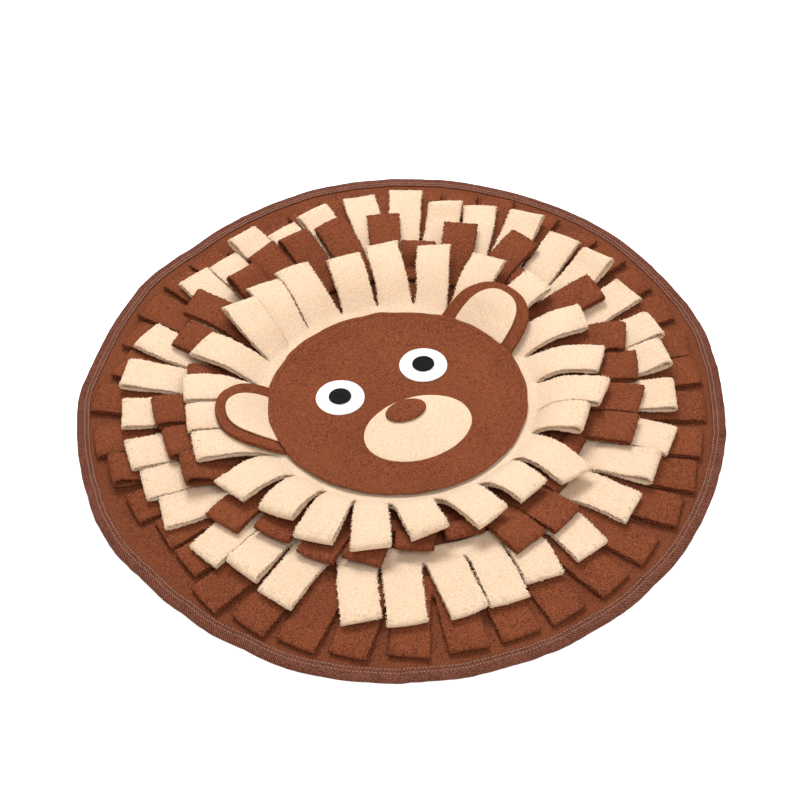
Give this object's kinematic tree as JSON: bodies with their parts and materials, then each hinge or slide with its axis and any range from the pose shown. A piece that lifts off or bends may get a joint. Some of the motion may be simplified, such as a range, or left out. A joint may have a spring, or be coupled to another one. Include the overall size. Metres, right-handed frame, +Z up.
{
  "type": "snuffle mat",
  "caption": "Round cloth snuffle mat for dogs: a bound fleece disc with sewn rounds of folded fleece loops that hide treats, and an animal face with two ears over the middle.",
  "frame": {"origin": "centre of the mat's underside, in the plane of the floor it lies on", "axes": "+Z up out of the floor; +Y towards the top of the face; +X towards the face's right ear as seen from above"},
  "size_m": [0.6015, 0.5981, 0.0416],
  "materials": {
    "brown_fleece": "short brushed pile",
    "cream_fleece": "short brushed pile",
    "white_felt": "matt felt",
    "black_felt": "matt felt",
    "binding_tape": "ribbed woven tape"
  },
  "bodies": {
    "root": {"base_mat": "brown_fleece", "edge_binding": "binding_tape", "loops_1_outer_brown": "brown_fleece", "loops_2_cream": "cream_fleece", "loops_3_brown": "brown_fleece", "loops_4_inner_cream": "cream_fleece", "face_panel": "brown_fleece", "ear_left": "brown_fleece", "ear_right": "brown_fleece", "inner_ear_left": "cream_fleece", "inner_ear_right": "cream_fleece", "muzzle": "cream_fleece", "nose": "brown_fleece", "eye_left": "white_felt", "eye_right": "white_felt", "pupil_left": "black_felt", "pupil_right": "black_felt"}
  },
  "joints": []
}
